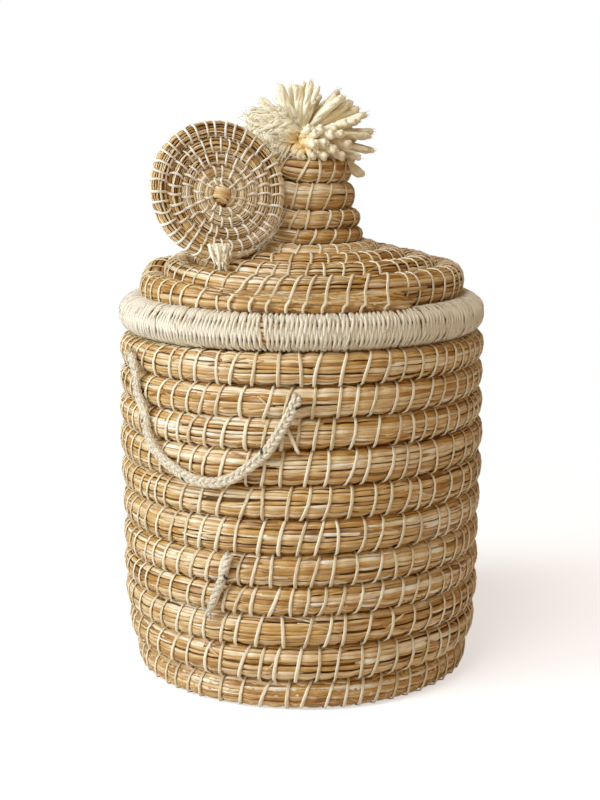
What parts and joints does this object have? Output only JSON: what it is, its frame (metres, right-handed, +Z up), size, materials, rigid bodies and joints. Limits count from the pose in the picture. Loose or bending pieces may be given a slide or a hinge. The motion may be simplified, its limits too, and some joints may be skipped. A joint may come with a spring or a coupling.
{
  "type": "lidded storage basket",
  "caption": "Round coiled grass basket with a lift-off lid that rises to a narrow neck, a yarn pompom on top, a small coiled rosette beside it and a cord swag on the wall.",
  "frame": {"origin": "middle of the floor's underside, where the basket stands", "axes": "+Z up along the basket's axis, -Y to the front, where the cord swag is left of the middle, +X to the right seen from the front"},
  "size_m": [0.216, 0.2226, 0.3461],
  "materials": {
    "straw": "matt dried grass in long golden strands, sewn with cream thread",
    "straw_knot": "matt wound grass",
    "cream_yarn": "matt cream yarn, wrapped closely",
    "wool": "soft thick cream yarn, fraying at its ends",
    "cream_cord": "matt braided cotton cord",
    "grey_thread": "matt grey sewing thread"
  },
  "bodies": {
    "basket": {"body_coil": "straw", "floor_knot": "straw_knot", "whipped_rim": "cream_yarn", "swag_cord": "cream_cord", "swag_tie_1": "grey_thread", "swag_tie_2": "grey_thread", "swag_tie_3": "grey_thread", "swag_tie_4": "grey_thread", "short_cord": "cream_cord", "short_tie_1": "grey_thread"},
    "lid": {"lid_coil": "straw", "pompom": "wool"},
    "rosette": {"rosette_coil": "straw", "rosette_button": "straw_knot", "rosette_tie": "wool"}
  },
  "joints": [
    {"name": "lid_lift", "type": "slide", "parent": "basket", "child": "lid", "axis": [0, 0, 1], "range_m": [0, 0.12]},
    {"name": "rosette_tilt", "type": "hinge", "parent": "lid", "child": "rosette", "pos_m": [-0.0429, -0.0649, 0.2493], "axis": [0.9272, 0.3746, 0], "range_deg": [0, 80]}
  ]
}
